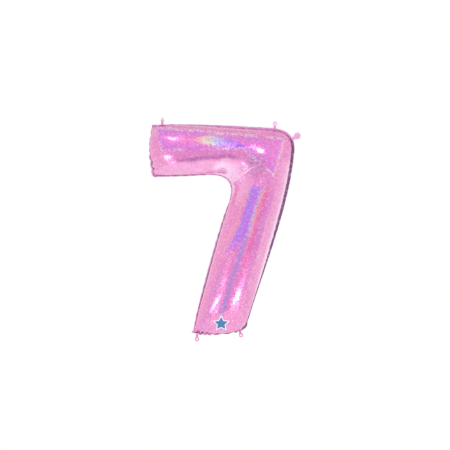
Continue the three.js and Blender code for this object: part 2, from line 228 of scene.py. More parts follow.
class ShaderTree:
    """The nodes of one material or world."""

    def __init__(self, owner):
        owner.use_nodes = True
        self.nodes = owner.node_tree.nodes
        self.links = owner.node_tree.links
        self.nodes.clear()

    def node(self, kind, settings=None, inputs=None, output=0):
        """Adds a node with its settings, then its sockets' values or links, and returns one output."""
        made = self.nodes.new(kind)
        for name, value in (settings or {}).items():
            if name == "stops":
                self.set_stops(made.color_ramp, value)
            else:
                setattr(made, name, value)
        for key, value in (inputs or {}).items():
            if isinstance(value, Socket):
                self.links.new(value.socket, made.inputs[key])
            else:
                made.inputs[key].default_value = value
        return Socket(self, made.outputs[output]) if made.outputs else made

    def set_stops(self, ramp, stops):
        """Gives a colour ramp its stops, each a place and a colour."""
        while len(ramp.elements) < len(stops):
            ramp.elements.new(0.5)
        for element, (place, shade) in zip(ramp.elements, stops):
            element.position = place
            element.color = (*shade, 1)

    def math(self, operation, *values):
        return self.node("ShaderNodeMath", {"operation": operation}, dict(enumerate(values)))

    def mix(self, factor, a, b, blend_type="MIX"):
        """Colours mixed by a factor."""
        settings = {"data_type": "RGBA", "blend_type": blend_type, "clamp_factor": True}
        return self.node("ShaderNodeMix", settings, {0: factor, 6: opaque(a), 7: opaque(b)}, output=2)

    def step(self, value, low, high):
        """0 below low, 1 above high and smooth between; with low above high it runs the other way."""
        settings = {"interpolation_type": "SMOOTHSTEP", "clamp": True}
        inputs = {0: value, 1: low, 2: high, 3: 0.0, 4: 1.0}
        if low > high:
            inputs.update({1: high, 2: low, 3: 1.0, 4: 0.0})
        return self.node("ShaderNodeMapRange", settings, inputs)

    def band(self, value, middle, half_width):
        """1 at middle, fading to 0 half a width away."""
        return self.step(abs(value - middle), half_width, 0.0)

    def ramp(self, value, stops):
        return self.node("ShaderNodeValToRGB", {"stops": stops}, {0: value})

    def parts(self, vector):
        """The x, y and z of a vector."""
        split = self.nodes.new("ShaderNodeSeparateXYZ")
        self.links.new(vector.socket, split.inputs[0])
        return [Socket(self, split.outputs[i]) for i in range(3)]

    def noise(self, vector, scale, detail=2.0, roughness=0.5):
        inputs = {"Vector": vector, "Scale": scale, "Detail": detail, "Roughness": roughness}
        return self.node("ShaderNodeTexNoise", {}, inputs)

    def flakes(self, vector, size, output):
        """Small random cells: output 0 is the distance inside a cell and 1 its own random colour."""
        inputs = {"Vector": vector, "Scale": 1 / size, "Randomness": 1.0}
        return self.node("ShaderNodeTexVoronoi", {}, inputs, output=output)

    def finish_with(self, shader):
        self.node("ShaderNodeOutputMaterial", {}, {"Surface": shader})


def opaque(shade):
    """A colour with its alpha, where it is a plain one."""
    if isinstance(shade, Socket):
        return shade
    return (*tuple(shade)[:3], 1)


# ---- Materials ----

ACROSS_WELD = "across_weld"  # the films' own attribute: 0 at the seam, 1 at the weld's rim

FILM_METAL = 0.88  # how metallic the film is; ink covers nearly all of it
INK_COVER = 0.78
FLAKE_TILT = 0.05
STAR_EDGE_ANGLE = 1.11  # from the star's point to the square on its edge, in radians
STAR_RIM_SHARE = 0.443  # from the star's middle to its edge, against the print's size

# Painted diffraction colours of the hologram, from one edge of a light's fan to the other
SPECTRUM = [
    (0.00, (0.93, 0.32, 0.52)),
    (0.14, (1.00, 0.60, 0.52)),
    (0.25, (0.95, 0.82, 0.50)),
    (0.36, (0.70, 0.84, 0.68)),
    (0.47, (0.56, 0.68, 0.92)),
    (0.60, (0.66, 0.40, 0.94)),
    (0.80, (0.54, 0.22, 0.86)),
    (1.00, (0.22, 0.12, 0.80)),
]

# Painted glint colours that a single glittering flake takes
GLINT_COLOURS = [
    (0.00, (1.00, 0.66, 0.74)),
    (0.25, (1.00, 0.80, 0.70)),
    (0.45, (0.95, 0.95, 0.84)),
    (0.65, (0.74, 0.90, 0.95)),
    (0.85, (0.80, 0.70, 0.98)),
    (1.00, (0.55, 0.28, 0.62)),
]

# Single colours of the hologram's fans, painted reflection of the lights, from the warm side to the cold one
PEACH = (0.93, 0.50, 0.44)
ORANGE = (0.95, 0.42, 0.28)
ROSE = (0.88, 0.17, 0.44)
HOT_PINK = (0.96, 0.28, 0.60)
MAUVE = (0.62, 0.20, 0.62)
LILAC = (0.66, 0.24, 0.66)
RED_VIOLET = (0.62, 0.23, 0.80)
BLUE_VIOLET = (0.46, 0.27, 0.86)
INK_BLUE = (0.39, 0.34, 0.74)
ICE_BLUE = (0.52, 0.60, 0.80)

# Painted sheen, highlight and shade on the film, painted glints on its flakes, and its darker flakes
FLANK_GLEAM = (1.0, 0.82, 0.93)
FOLD_SHEEN_PINK = (0.98, 0.58, 0.84)
DENT_HIGHLIGHT_PINK = (1.0, 0.80, 0.95)
DIMPLE_SHADE_PLUM = (0.54, 0.20, 0.40)
GLINT_FLAKE = (1.0, 0.80, 0.90)
DARK_FLAKE = (0.52, 0.14, 0.40)


def along_stem(x, z, marks):
    """How far to the right of the stem's middle line a point is, and how far down it, 0 to 1."""
    middle_line = (marks["stem_top"], marks["stem_foot"])
    return beyond(x, z, *middle_line), share_along(x, z, *middle_line)


def beyond(x, z, start, end):
    """How far a point lies to the left of the line from start to end."""
    along = (end - start).normalized()
    return (z - start.y) * along.x - (x - start.x) * along.y


def share_along(x, z, start, end):
    """How far along the line from start to end a point lies, 0 at start and 1 at end."""
    along = (end - start) / (end - start).length_squared
    return (x - start.x) * along.x + (z - start.y) * along.y


def distance(tree, x, z, point):
    """How far a point is from a place on the figure."""
    return tree.math("SQRT", (x - point.x) * (x - point.x) + (z - point.y) * (z - point.y))


def lit_panel(tree, x, z, marks):
    """How far inside the arm's and elbow's bright panel of painted reflection a point is, below 0 outside."""
    top_left, low_left, bend, tip, foot, top_right = marks["panel"]
    below_top = beyond(x, z, top_right, top_left)
    from_left = beyond(x, z, top_left, low_left)
    above_floor = beyond(x, z, low_left, bend)
    above_slope = beyond(x, z, bend, tip)
    from_right = beyond(x, z, foot, top_right)
    across = tree.math("MINIMUM", below_top, from_right)
    arm = tree.math("MINIMUM", tree.math("MINIMUM", from_left, above_floor), across)
    return tree.math("MAXIMUM", arm, tree.math("MINIMUM", above_slope, across))


def add_rainbow(tree, film, x, z, marks, flecks):
    """Painted reflection of the lights on the arm: a rainbow spindle along its crest, from peach on the left
    to violet on the right.
    """
    start, end = marks["rainbow"]
    along = share_along(x, z, start, end)
    bow = (along - 0.5) * (along - 0.5) * (-30 * MM)
    off = beyond(x, z, start, end) - bow - 5 * MM
    half_width = along * (1.0 - along) * (105 * MM) + 2 * MM
    # painted reflection: a hot pink band along the crest, beneath the rainbow
    crest = tree.step(abs(off + 6 * MM), 40 * MM, 4 * MM) * tree.step(along, -0.45, -0.10)
    film = tree.mix(crest * tree.step(along, 0.75, 0.10) * 0.75, film, HOT_PINK)
    spindle = tree.step(abs(off) / half_width + flecks * 0.35, 1.15, 0.45) * tree.step(along, 0.0, 0.12)
    shade = tree.ramp(along + flecks * 0.22, SPECTRUM)
    return tree.mix(spindle * tree.step(along, 1.02, 0.96) * 0.92, film, shade)


def add_streak(tree, film, x, z, marks, flecks, wander):
    """Painted reflection on the stem: a streak violet left of its crest, orange and rose right, and a blue
    line below.

    Also returns how much painted glint shows along it.
    """
    aside, down = along_stem(x, z, marks)
    aside = aside + wander
    begun = tree.step(down, -0.12, -0.05)

    # painted reflection: rose and mauve to the right, fading towards the foot, and lilac low on the left
    warm = begun * tree.step(down, 0.95, 0.30)
    film = tree.mix(tree.band(aside, 25 * MM, 26 * MM) * warm * 0.75, film, ROSE)
    film = tree.mix(tree.band(aside, 48 * MM, 22 * MM) * warm * 0.5, film, MAUVE)
    film = tree.mix(tree.band(aside, -66 * MM, 20 * MM) * tree.step(down, 0.45, 0.7) * 0.5, film, LILAC)

    # painted reflection: the violet core narrows and bears left as it runs down, between a peach and an
    # orange edge
    lower = tree.math("MAXIMUM", down - 0.24, 0.0)
    off = aside + 20 * MM + lower * (150 * MM)
    half_width = 21 * MM - lower * (35 * MM)
    left_edge = tree.band(off + flecks * (12 * MM), -34 * MM, 14 * MM) * begun
    film = tree.mix(left_edge * tree.step(down, 0.48, 0.30) * 0.45, film, PEACH)
    right_edge = tree.band(aside + flecks * (18 * MM), 11 * MM, 11 * MM) * begun
    film = tree.mix(right_edge * tree.step(down, 0.36, 0.22) * 0.9, film, ORANGE)
    core = tree.step(abs(off) / half_width + flecks * 0.6, 1.15, 0.80) * begun
    core = core * tree.step(down + flecks * 0.10, 0.50, 0.38)
    violet = tree.mix(tree.step(off + flecks * (30 * MM), -16 * MM, 4 * MM), BLUE_VIOLET, RED_VIOLET)
    film = tree.mix(core * 0.95, film, violet)
    cold_edge = tree.band(aside + flecks * (12 * MM), 2 * MM, 7 * MM) * begun
    film = tree.mix(cold_edge * tree.step(down, 0.34, 0.24) * 0.8, film, ICE_BLUE)

    # the thin painted blue line that goes on down to the foot
    line = tree.band(aside + flecks * (9 * MM), -8 * MM, 13 * MM)
    line = line * tree.step(down, 0.24, 0.34) * tree.step(down, 1.0, 0.92)
    film = tree.mix(line * 0.85, film, INK_BLUE)

    # where painted glints show: a band on the right flank and one along the crest
    right = tree.band(aside, 66 * MM, 9 * MM) * tree.step(down, 0.05, 0.25) * tree.step(down, 1.0, 0.9)
    streak_glints = right + tree.band(aside, 4 * MM, 16 * MM) * begun * tree.step(down, 0.45, 0.25)
    return film, streak_glints


def add_painted_sheen(tree, film, x, z, across, colours, marks):
    """Painted sheen and highlights: pales the film on the stem's right flank and in the folds beside the
    inner corner.
    """
    inner = marks["inner"]
    on_stem = tree.step(z, inner.y + 145 * MM, inner.y + 65 * MM)
    film = tree.mix(tree.step(across, 0.45, 0.85) * on_stem * 0.6, film, colours.pale)
    film = tree.mix(tree.step(across, 0.77, 0.95) * on_stem * 0.85, film, FLANK_GLEAM)
    for offset, reach, core, strength, shade in (
        ((0, 0), 105 * MM, 45 * MM, 0.7, colours.pale),
        ((-25, 25), 85 * MM, 45 * MM, 0.85, FOLD_SHEEN_PINK),
        ((-45, 56), 50 * MM, 20 * MM, 0.8, DENT_HIGHLIGHT_PINK),
    ):
        away = distance(tree, x, z, inner + Vector(offset) * MM)
        film = tree.mix(tree.step(away, reach, core) * strength, film, shade)
    return film


def add_panel(tree, film, place, within, flecks, colours):
    """Painted reflection on the bright panel of arm and elbow, violet just inside its edge."""
    grainy = within + flecks * (8 * MM)
    film = tree.mix(tree.step(grainy, -3 * MM, 4 * MM) * 0.9, film, colours.magenta)
    edge = tree.step(grainy, 0.0, 4 * MM) * tree.step(grainy, 36 * MM, 6 * MM)
    patchy = tree.step(tree.noise(place, 8.0, 1.0), 0.38, 0.62)
    return tree.mix(edge * patchy * 0.34, film, colours.violet)


def hologram(tree, colours, marks):
    """The film's colour with its painted reflections, sheen, glints and shade, how much each flake glints,
    and each flake's own random colour.
    """
    place = tree.node("ShaderNodeTexCoord", output=3)
    x, _, z = tree.parts(place)
    across, _, upward = tree.parts(tree.node("ShaderNodeTexCoord", output=1))
    flake = tree.flakes(place, colours.flake, 1)
    glint, hue, speck = tree.parts(flake)
    flecks = hue - 0.5
    wander = (tree.noise(place, 7.0, 2.0) - 0.5) * (16 * MM)

    # painted reflection of the white floor: paler where the film looks down, most of all under the arm
    floor_reflection = tree.step(upward, -0.18, -0.52) * (tree.step(z, 0.0, 150 * MM) * 0.5 + 0.22)
    film = tree.mix(floor_reflection, colours.pink, colours.pale)
    film = add_painted_sheen(tree, film, x, z, across, colours, marks)

    within = lit_panel(tree, x, z, marks) + wander * 0.4
    film = add_panel(tree, film, place, within, flecks, colours)
    film = add_rainbow(tree, film, x, z, marks, flecks)
    film, stem_glints = add_streak(tree, film, x, z, marks, flecks, wander)

    # painted shade: a duller, glittering dimple between the inner corner and the elbow
    to_dimple = distance(tree, x, z, marks["dimple"]) + wander + flecks * (30 * MM)
    dimple_shade = tree.step(to_dimple, 66 * MM, 30 * MM)
    film = tree.mix(dimple_shade * 0.5, film, DIMPLE_SHADE_PLUM)

    # painted glints: lines of glittering flakes along the panel's edge, the stem's streak and the dimple, and
    # single glinting flakes all over; the last mix darkens flakes at random
    lines = tree.band(within, 0.0, 11 * MM) * tree.step(tree.noise(place, 14.0, 2.0), 0.30, 0.52)
    lines = lines + stem_glints * 0.45 + dimple_shade * 0.35
    film = tree.mix(lines * tree.step(speck, 0.15, 0.75) * 0.75, film, tree.ramp(hue, GLINT_COLOURS))
    film = tree.mix(tree.step(speck, 0.72, 1.0) * 0.34, film, tree.ramp(hue, SPECTRUM))
    film = tree.mix(tree.step(glint, 0.72, 1.0) * 0.26, film, GLINT_FLAKE)
    film = tree.mix(tree.step(glint, 0.30, 0.0) * 0.26, film, DARK_FLAKE)
    return film, glint, flake


def film_shader(tree, film, flake, glint, metal):
    """A metallised film whose flakes each tilt the reflection a little."""
    normal = tree.node("ShaderNodeNewGeometry", output=1)
    centred = tree.node("ShaderNodeVectorMath", {"operation": "SUBTRACT"}, {0: flake, 1: (0.5, 0.5, 0.5)})
    tilt = tree.node("ShaderNodeVectorMath", {"operation": "SCALE"}, {0: centred, "Scale": FLAKE_TILT})
    turned = tree.node("ShaderNodeVectorMath", {"operation": "ADD"}, {0: normal, 1: tilt})
    final = tree.node("ShaderNodeVectorMath", {"operation": "NORMALIZE"}, {0: turned})
    inputs = {
        "Base Color": film,
        "Metallic": metal,
        "Roughness": 0.17 + glint * 0.10,
        "Normal": final,
        "Coat Weight": 0.35,
        "Coat Roughness": 0.06,
        "Coat IOR": 1.5,
    }
    return tree.node("ShaderNodeBsdfPrincipled", {}, inputs)


def printed_star(tree, film, marks, colours):
    """A small blue star with a white edge, printed near the foot, and how much ink lies on the film."""
    x, _, z = tree.parts(tree.node("ShaderNodeTexCoord", output=3))
    across = x - marks["print"].x
    up = z - marks["print"].y
    turn = tree.math("ARCTAN2", across, up)
    away = tree.math("SQRT", across * across + up * up)
    sector = 2 * math.pi / 5
    folded = abs(tree.math("PINGPONG", turn + 10 * sector, sector / 2))
    edge = away * tree.math("COSINE", folded - STAR_EDGE_ANGLE)
    rim = STAR_RIM_SHARE * marks["print_size"]
    white = tree.step(edge, rim + 4 * MM, rim + 3 * MM)
    blue = tree.step(edge, rim + 0.5 * MM, rim - 0.5 * MM)
    film = tree.mix(white, film, (0.94, 0.94, 0.97))
    return tree.mix(blue, film, colours.print_blue), white


def film_material(name, colours, marks, with_print=False):
    """Pink holographic film."""
    material = bpy.data.materials.new(name)
    tree = ShaderTree(material)
    film, glint, flake = hologram(tree, colours, marks)
    metal = FILM_METAL
    if with_print:
        film, ink = printed_star(tree, film, marks, colours)
        metal = FILM_METAL - ink * INK_COVER
    tree.finish_with(film_shader(tree, film, flake, glint, metal))
    return material


def at_arm_end(tree, x, marks):
    """1 along the arm's free end, and 0 past it."""
    end = marks["arm_end"]
    return tree.step(x, end + 22 * MM, end + 12 * MM)


def weld_material(name, colours, marks):
    """The flat welded edge, crimped by the welding bar, with painted shade dark on the right and painted
    light paler at its rim on the left.
    """
    material = bpy.data.materials.new(name)
    tree = ShaderTree(material)
    place = tree.node("ShaderNodeTexCoord", output=3)
    x, _, z = tree.parts(place)
    glint, hue, _ = tree.parts(tree.flakes(place, colours.flake, 1))
    across = tree.node("ShaderNodeAttribute", {"attribute_name": ACROSS_WELD}, output=2)
    aside, down = along_stem(x, z, marks)
    top = marks["rainbow"][0].y
    elbow = marks["outer"].y
    # painted shade on the weld: dark right of the stem's middle below the elbow and a little along the top,
    # with random darker patches; elsewhere the pale weld's painted light
    right = tree.step(aside, 0.0, 40 * MM) * tree.step(z, elbow, elbow - 30 * MM)
    on_top = tree.step(z, top, top + 30 * MM)
    shaded = tree.math("MAXIMUM", right, on_top * 0.2)
    patches = tree.step(tree.noise(place, 55.0, 1.0), 0.52, 0.68) * 0.5
    rim = tree.mix(tree.math("MAXIMUM", shaded, patches), colours.pale_weld, colours.weld)

    # painted shade: beside the seam lies a dark groove, weaker at the two free ends and along the top
    free_end = tree.math("MAXIMUM", at_arm_end(tree, x, marks), tree.step(down, 1.0, 1.06))
    weaker = tree.math("MAXIMUM", free_end * 0.75, on_top * 0.85)
    shade = tree.mix(tree.step(across, 0.50, 0.30) * (1.0 - weaker), rim, colours.weld)
    crimp = tree.node("ShaderNodeTexWave", {"bands_direction": "DIAGONAL"}, {"Vector": place, "Scale": 120.0})
    normal = tree.node("ShaderNodeBump", {}, {"Strength": 0.25, "Distance": 0.4 * MM, "Height": crimp})
    inputs = {
        # painted glints on the brightest flakes
        "Base Color": tree.mix(tree.step(glint, 0.8, 1.0) * 0.35, shade, tree.ramp(hue, GLINT_COLOURS)),
        "Metallic": 0.85,
        "Roughness": 0.30 + glint * 0.12,
        "Normal": normal,
    }
    tree.finish_with(tree.node("ShaderNodeBsdfPrincipled", {}, inputs))
    return material


def tab_material(name, colours, pale, share):
    """Two plies of film with little metal on them; share is how much of the pale tone shows all over."""
    material = bpy.data.materials.new(name)
    tree = ShaderTree(material)
    place = tree.node("ShaderNodeTexCoord", output=3)
    glint, hue, _ = tree.parts(tree.flakes(place, colours.flake * 0.6, 1))
    shade = tree.mix(tree.noise(place, 60.0, 2.0) * 0.5 + share, colours.pink, pale)
    # painted glints: the brightest flakes take the hologram's colours
    shade = tree.mix(tree.step(glint, 0.75, 1.0) * 0.4, shade, tree.ramp(hue, SPECTRUM))
    creases = tree.noise(place, 140.0, 4.0, 0.6)
    normal = tree.node("ShaderNodeBump", {}, {"Strength": 0.3, "Distance": 0.6 * MM, "Height": creases})
    inputs = {
        "Base Color": shade,
        "Metallic": 0.55,
        "Roughness": 0.24 + glint * 0.12,
        "Normal": normal,
        "Coat Weight": 0.4,
        "Coat Roughness": 0.08,
    }
    tree.finish_with(tree.node("ShaderNodeBsdfPrincipled", {}, inputs))
    return material


def valve_material(name):
    """Clear, faintly milky polyethylene with fine draw lines."""
    material = bpy.data.materials.new(name)
    tree = ShaderTree(material)
    place = tree.node("ShaderNodeTexCoord", output=3)
    milk = tree.noise(place, 45.0, 3.0)
    lines = tree.node("ShaderNodeTexWave", {}, {"Vector": place, "Scale": 90.0, "Distortion": 3.0})
    normal = tree.node("ShaderNodeBump", {}, {"Strength": 0.2, "Distance": 0.3 * MM, "Height": lines})
    inputs = {
        "Base Color": tree.mix(milk, (0.86, 0.86, 0.88), (0.95, 0.95, 0.96)),
        "Roughness": 0.22 + milk * 0.15,
        "Alpha": 0.45 + milk * 0.2,
        "Normal": normal,
    }
    tree.finish_with(tree.node("ShaderNodeBsdfPrincipled", {}, inputs))
    return material


def floor_material(name):
    """A white paper floor with a faint tooth."""
    material = bpy.data.materials.new(name)
    tree = ShaderTree(material)
    place = tree.node("ShaderNodeTexCoord", output=3)
    tooth = tree.noise(place, 350.0, 3.0)
    normal = tree.node("ShaderNodeBump", {}, {"Strength": 0.05, "Distance": 0.5 * MM, "Height": tooth})
    inputs = {
        "Base Color": tree.mix(tooth, (0.97, 0.97, 0.97), (1.0, 1.0, 1.0)),
        "Roughness": 0.9,
        "Normal": normal,
        "Emission Color": (1, 1, 1, 1),
        "Emission Strength": 0.06,
    }
    tree.finish_with(tree.node("ShaderNodeBsdfPrincipled", {}, inputs))
    return material


# ---- The outline of the weld, from the frame ----


def outline_of(node):
    """The outer edge of a film's flange, as ordered points (x, z), clockwise seen from the front."""
    shell = bmesh.new()
    shell.from_mesh(frame["nodes"][node].data)
    bmesh.ops.remove_doubles(shell, verts=shell.verts, dist=1e-5)
    seam = max(v.co.y for v in shell.verts)
    weld = {f for f in shell.faces if all(v.co.y > seam - 1e-4 for v in f.verts)}
    rims = [e for e in shell.edges if sum(f in weld for f in e.link_faces) == 1]
    neighbours = {}
    for edge in rims:
        a, b = edge.verts
        neighbours.setdefault(a, []).append(b)
        neighbours.setdefault(b, []).append(a)
    start = min(neighbours, key=lambda v: v.co.x)
    loop = [start]
    before, at = None, start
    while True:
        onward = [v for v in neighbours[at] if v is not before][0]
        if onward is start:
            break
        loop.append(onward)
        before, at = at, onward
    points = np.array([(v.co.x, v.co.z) for v in loop])
    shell.free()
    return points if signed_area(points) < 0 else points[::-1]


def signed_area(points):
    """A closed line's area, below 0 where it runs clockwise."""
    x, z = points.T
    return 0.5 * float(np.sum(x * np.roll(z, -1) - np.roll(x, -1) * z))


def run_round(points):
    """A closed line with its first point repeated, and how far round it each point lies."""
    closed = np.vstack([points, points[:1]])
    steps = np.linalg.norm(np.diff(closed, axis=0), axis=1)
    return closed, np.concatenate([[0], np.cumsum(steps)])


def points_at(line, run, places):
    """The points of a line (x, z) at some places along its run."""
    return np.stack([np.interp(places, run, line[:, i]) for i in range(2)], 1)


def spaced(points, count):
    """A closed line of points, spaced evenly, and its length round."""
    closed, run = run_round(points)
    return points_at(closed, run, np.arange(count) * run[-1] / count), run[-1]


def rounded(points, rounds):
    """Each value is averaged with its neighbours along a closed line."""
    for _ in range(rounds):
        points = (np.roll(points, 1, 0) + 2 * points + np.roll(points, -1, 0)) / 4
    return points


def outward(points):
    """Unit normals of a clockwise line, pointing out."""
    along = np.roll(points, -1, 0) - np.roll(points, 1, 0)
    out = np.stack([-along[:, 1], along[:, 0]], 1)
    return out / np.linalg.norm(out, axis=1)[:, None]


def sharp_corners(points, spread=8, at_least=math.radians(55)):
    """Where a closed line turns most, as indices."""
    before = points - np.roll(points, spread, 0)
    after = np.roll(points, -spread, 0) - points
    cosine = (before * after).sum(1) / np.linalg.norm(before, axis=1) / np.linalg.norm(after, axis=1)
    turn = np.arccos(np.clip(cosine, -1, 1))
    count = len(points)
    window = np.arange(-2 * spread, 2 * spread + 1)
    return [i for i in range(count) if turn[i] > at_least and turn[i] == turn[(i + window) % count].max()]


def between(first, last, count):
    """The indices from first up to last on a closed line of so many points."""
    return (first + np.arange((last - first) % count)) % count


def smoothstep(value, low, high):
    """0 below low, 1 above high and smooth between."""
    t = np.clip((value - low) / (high - low), 0, 1)
    return t * t * (3 - 2 * t)


def corners_of(seam):
    """The figure's four sharp corners, as indices into its seam."""
    found = sharp_corners(seam)
    if len(found) != 4:
        raise RuntimeError(f"the outline has {len(found)} sharp corners, and a seven has four")
    by_height = sorted(found, key=lambda i: seam[i, 1])
    foot, arm = by_height[:2], by_height[2:]
    foot_left, foot_right = sorted(foot, key=lambda i: seam[i, 0])
    return {"arm_bottom": arm[0], "arm_top": arm[1], "foot_left": foot_left, "foot_right": foot_right}


def inner_corner(seam, corners):
    """The middle of the inner corner: between foot and arm, the point furthest in from their chord."""
    inner_side = seam[between(corners["foot_left"], corners["arm_bottom"], len(seam))]
    chord = inner_side[-1] - inner_side[0]
    out = np.array([chord[1], -chord[0]]) / np.linalg.norm(chord)
    return Vector(inner_side[np.argmax((inner_side - inner_side[0]) @ out)])


def middle_at(seam, height):
    """The middle of the stem at a height."""
    near = seam[abs(seam[:, 1] - height) < 8 * MM]
    return Vector(((near[:, 0].min() + near[:, 0].max()) / 2, height))


def panel_of(arm_top, arm_end, inner, outer):
    """The six corners of the bright panel on arm and elbow, anticlockwise from the top left."""
    return [
        arm_top + Vector((14, -11)) * MM,
        arm_end + Vector((45, -2)) * MM,
        Vector((inner.x, arm_end.y)) + Vector((45, 3)) * MM,
        outer + Vector((-79, -158)) * MM,
        outer + Vector((-80, -218)) * MM,
        outer + Vector((-19, -15)) * MM,
    ]


def marks_of(seam):
    """Places on the figure that the film's pattern follows, worked out from its outline."""
    low = seam.min(0)
    corners = corners_of(seam)
    at = {name: Vector(seam[i]) for name, i in corners.items()}
    inner = inner_corner(seam, corners)
    outer = Vector(seam[np.argmax(seam @ np.array([0.7, 0.7]))])
    arm_end = (at["arm_top"] + at["arm_bottom"]) / 2
    foot = (at["foot_left"] + at["foot_right"]) / 2
    arm_middle = Vector((low[0], arm_end.y))
    return {
        "inner": inner,
        "outer": outer,
        "arm_end": arm_end.x,
        "stem_top": middle_at(seam, inner.y - 60 * MM),
        "stem_foot": middle_at(seam, float(low[1]) + 60 * MM),
        "panel": panel_of(at["arm_top"], arm_end, inner, outer),
        "rainbow": (arm_middle + Vector((174, 44)) * MM, arm_middle + Vector((396, 14)) * MM),
        "dimple": inner.lerp(outer, 0.40),
        "print": foot + Vector((11, 35)) * MM,
        "print_size": 30 * MM,
    }


# ---- The two films ----

OUTLINE_POINTS = 480  # round the outline, while the flat cut is worked out
WELD_POINTS = 900  # round the weld, while it is puckered
OPENING_SPREAD = math.radians(70)  # the sector round the elbow over which the flat cut opens
SPLIT_IRONING = (6, 3)  # rounds of ironing after each splitting of the mesh


def inside(loop, points):
    """Which points lie inside a closed line."""
    x, y = points.T
    found = np.zeros(len(points), bool)
    for (xa, ya), (xb, yb) in zip(loop, np.roll(loop, -1, 0)):
        crosses = ((ya > y) != (yb > y)) & (x < (xb - xa) * (y - ya) / (yb - ya + 1e-15) + xa)
        found ^= crosses
    return found


def clear_of(loop, points, gap):
    """Which points are further than a gap from a closed line."""
    nearest = np.full(len(points), np.inf)
    for a, b in zip(loop, np.roll(loop, -1, 0)):
        step = b - a
        share = np.clip(((points - a) @ step) / (step @ step), 0, 1)
        nearest = np.minimum(nearest, np.linalg.norm(points - a - share[:, None] * step, axis=1))
    return nearest > gap


def flat_cut(seam, step):
    """Triangles that fill a closed line, with its own points first."""
    random = np.random.default_rng(3)
    low, high = seam.min(0), seam.max(0)
    rows = []
    for k, z in enumerate(np.arange(low[1], high[1], step * math.sqrt(3) / 2)):
        x = np.arange(low[0] + (step / 2) * (k % 2), high[0], step)
        rows.append(np.stack([x, np.full_like(x, z)], 1))
    grid = np.concatenate(rows)
    grid += random.uniform(-0.18 * step, 0.18 * step, grid.shape)
    grid = grid[inside(seam, grid)]
    grid = grid[clear_of(seam, grid, 0.62 * step)]
    points = [Vector(p) for p in np.concatenate([seam, grid])]
    border = [(i, (i + 1) % len(seam)) for i in range(len(seam))]
    placed, _, faces, *_ = delaunay_2d_cdt(points, border, [], 1, 1e-7)
    return np.array([tuple(p) for p in placed]), [tuple(f) for f in faces]


# What each point of the films is part of
SEAM, SKIN, RIM, FLANGE = range(4)


class Film:
    """Both films as one mesh: seam points first, then the front's and the back's, then the flange's rim."""

    def __init__(self, seam, step, flange):
        places, triangles = flat_cut(seam, step)
        self.seam_count = len(seam)
        count = self.seam_count
        whole = len(places)
        front = [(x, 0.0 if i < count else -0.5 * MM, z) for i, (x, z) in enumerate(places)]
        back = [(x, 0.5 * MM, z) for x, z in places[count:]]
        rim = [(x, 0.0, z) for x, z in seam + outward(seam) * flange]
        self.flat = np.array(front + back + rim)
        self.rim_start = whole + len(back)
        self.faces = []
        self.sides = []
        for a, b, c in triangles:
            if np.cross(places[b] - places[a], places[c] - places[a]) < 0:
                b, c = c, b
            self.faces.append((a, b, c))
            behind = [i if i < count else whole + i - count for i in (a, c, b)]
            self.faces.append(tuple(behind))
            self.sides += ["front", "back"]
        for i in range(count):
            j = (i + 1) % count
            self.faces.append((i, self.rim_start + i, self.rim_start + j))
            self.faces.append((i, self.rim_start + j, j))
            self.sides += ["flange", "flange"]
        self.kind = np.full(len(self.flat), SKIN)
        self.kind[:count] = SEAM
        self.kind[self.rim_start :] = RIM
        self.across = np.where(self.kind == RIM, 1.0, 0.0)

    def drawn_in(self, seam, rim):
        """The flat places, with seam and rim drawn in to their inflated outline."""
        places = self.flat.copy()
        places[: self.seam_count, [0, 2]] = seam
        places[self.rim_start :, [0, 2]] = rim
        return places

    def refine(self, places):
        """Splits each triangle into four and returns the new places."""
        middles = {}
        points = list(places)
        kinds = list(self.kind)
        across = list(self.across)

        def middle(a, b):
            key = (min(a, b), max(a, b))
            if key not in middles:
                middles[key] = len(points)
                points.append((places[a] + places[b]) / 2)
                kinds.append(self.kind_between(a, b))
                across.append((self.across[a] + self.across[b]) / 2)
            return middles[key]

        faces = []
        sides = []
        for (a, b, c), side in zip(self.faces, self.sides):
            ab, bc, ca = middle(a, b), middle(b, c), middle(c, a)
            faces += [(a, ab, ca), (ab, b, bc), (ca, bc, c), (ab, bc, ca)]
            sides += [side] * 4
        self.faces = faces
        self.sides = sides
        self.kind = np.array(kinds)
        self.across = np.array(across)
        return np.array(points)

    def kind_between(self, a, b):
        """What the middle between two neighbouring points is part of."""
        kinds = {int(self.kind[a]), int(self.kind[b])}
        if SKIN in kinds:
            return SKIN
        return kinds.pop() if len(kinds) == 1 else FLANGE


def flat_pattern(target, sizes, marks):
    """The seam of the flat cut that inflates to the target seam, point by point."""
    count = len(target)
    around = np.linalg.norm(np.diff(np.vstack([target, target[:1]]), axis=0), axis=1).sum()
    out = outward(rounded(target, 3))
    run = np.arange(count) * around / count
    away = np.min(
        [np.minimum(abs(run - run[i]), around - abs(run - run[i])) for i in sharp_corners(target)], axis=0
    )
    fade = np.sin(np.pi / 2 * np.clip(away / sizes.corner_taper, 0, 1))
    corners = corners_of(target)
    inner_side = np.zeros(count)
    inner_side[between(corners["foot_left"], corners["arm_bottom"], count)] = 1
    full = sizes.side_growth + (sizes.inner_growth - sizes.side_growth) * rounded(inner_side, 12)
    growth = sizes.corner_growth + (full - sizes.corner_growth) * fade
    grown = target + out * growth[:, None]
    pivot = np.array(marks["inner"].lerp(marks["outer"], 0.68))
    inward = np.array((marks["inner"] - marks["outer"]).normalized())
    armward = np.array([inward[1], -inward[0]])
    from_pivot = grown - pivot
    share = 0.5 + np.arctan2(from_pivot @ armward, abs(from_pivot @ inward)) / OPENING_SPREAD
    angle = -sizes.opening * np.clip(share, 0, 1)
    cosine, sine = np.cos(angle), np.sin(angle)
    x, z = from_pivot.T
    opened = np.stack([x * cosine - z * sine, x * sine + z * cosine], 1)
    return rounded(pivot + opened, 3)


